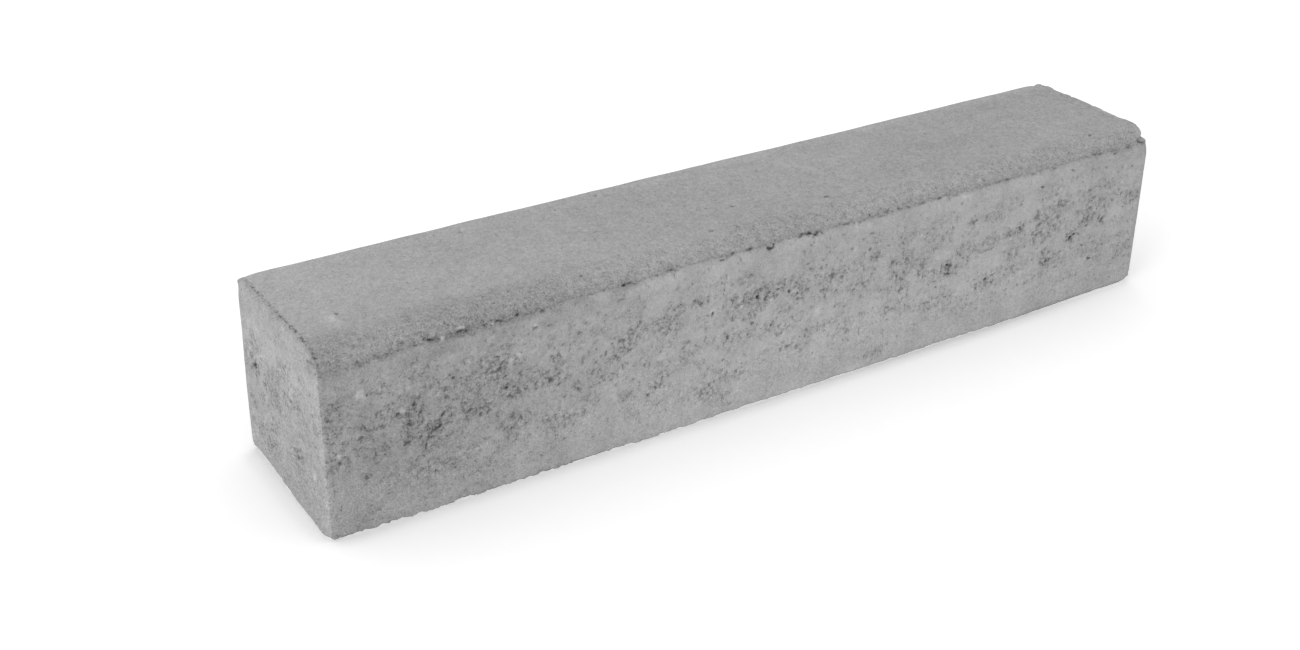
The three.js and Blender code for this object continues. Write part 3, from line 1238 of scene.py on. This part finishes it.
def floor_finish():
    """Plain pale grey, seen as white, with the stone's shadow, partly real and partly painted.
    """
    material = bpy.data.materials.new("studio_floor")
    material.use_nodes = True
    tree = material.node_tree
    plain = tree.nodes["Principled BSDF"]
    plain.inputs["Base Color"].default_value = (FLOOR_GREY, FLOOR_GREY, FLOOR_GREY, 1)
    plain.inputs["Roughness"].default_value = 1

    # A painted shadow along the stone's foot, where the place is least open. It deepens towards
    # the right and fades out past the right end. Painted light brightens the left end's foot,
    # on the lamp's side. Here x is in metres.
    corner = add_node(tree, "ShaderNodeAmbientOcclusion", samples=8)
    corner.inputs["Distance"].default_value = CREVICE
    openness = Formula(tree, corner.outputs["AO"])
    place = Formula(tree, tree.nodes.new("ShaderNodeTexCoord").outputs["Object"])
    x, _, _ = place.across()
    along = x.step(-0.2, 0.2, 0, 0.14) - x.step(0.22, 0.38, 0, 0.32)
    darkened = openness.step(1, 0.4) * (along + 0.2)
    lit = openness.step(0.62, 0.45) * x.step(-0.395, -0.41) * 0.25
    shown_grey = (1 - darkened + lit) * FLOOR_SHOWN
    gap = openness.step(0.5, 0.2, 0, GAP_GLOW)

    glow = add_node(tree, "ShaderNodeEmission", (1, 1, 1, 1), gap)
    shadowed = add_node(tree, "ShaderNodeBsdfDiffuse", shown_grey)
    shown = tree.nodes.new("ShaderNodeAddShader")
    tree.links.new(glow.outputs[0], shown.inputs[0])
    tree.links.new(shadowed.outputs[0], shown.inputs[1])
    either = add_node(tree, "ShaderNodeMixShader", seen_directly(tree))
    tree.links.new(plain.outputs[0], either.inputs[1])
    tree.links.new(shown.outputs[0], either.inputs[2])
    tree.links.new(either.outputs[0], tree.nodes["Material Output"].inputs["Surface"])
    return material


def lay_floor():
    bpy.ops.object.select_all(action="DESELECT")
    bpy.ops.mesh.primitive_plane_add(size=FLOOR_SIDE, location=(0, 0, LOW.z - FLOOR_DROP))
    bpy.ops.object.transform_apply(location=True, rotation=True, scale=True)
    floor = bpy.context.object
    floor.name = "studio_floor"
    floor.data.materials.append(floor_finish())


def light_studio():
    """An even white studio, with one large soft lamp at the left."""
    world = bpy.data.worlds.new("studio")
    world.use_nodes = True
    tree = world.node_tree
    background = tree.nodes["Background"]
    background.inputs["Color"].default_value = (1, 1, 1, 1)
    strength = seen_directly(tree) * (1 - SKY) + SKY
    plug(tree, strength, background.inputs["Strength"])
    bpy.context.scene.world = world

    lamp = bpy.data.lights.new("softbox", "AREA")
    lamp.size = SOFTBOX_SIDE
    lamp.energy = SOFTBOX_POWER
    softbox = bpy.data.objects.new("softbox", lamp)
    turn = (SOFTBOX_AIM - SOFTBOX_PLACE).to_track_quat("-Z", "Y")
    softbox.matrix_world = Matrix.Translation(SOFTBOX_PLACE) @ turn.to_matrix().to_4x4()
    bpy.context.scene.collection.objects.link(softbox)


def place_camera():
    data = bpy.data.cameras.new("camera")
    data.sensor_fit = "HORIZONTAL"
    data.sensor_width = SENSOR_WIDTH
    data.lens = CAMERA_LENS
    camera = bpy.data.objects.new("camera", data)
    bpy.context.scene.collection.objects.link(camera)
    camera.matrix_world = (
        Matrix.Translation(CAMERA_PLACE)
        @ Matrix.Rotation(-CAMERA_YAW, 4, "Z")
        @ Matrix.Rotation(math.pi / 2 - CAMERA_PITCH, 4, "X")
        @ Matrix.Rotation(CAMERA_ROLL, 4, "Z")
    )
    bpy.context.scene.camera = camera


stone = make_stone()
stone.data.materials.clear()
stone.data.materials.append(concrete())
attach(stone, "root")
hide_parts(NODE)

lay_floor()
light_studio()
place_camera()
bpy.context.scene.view_settings.view_transform = "Standard"
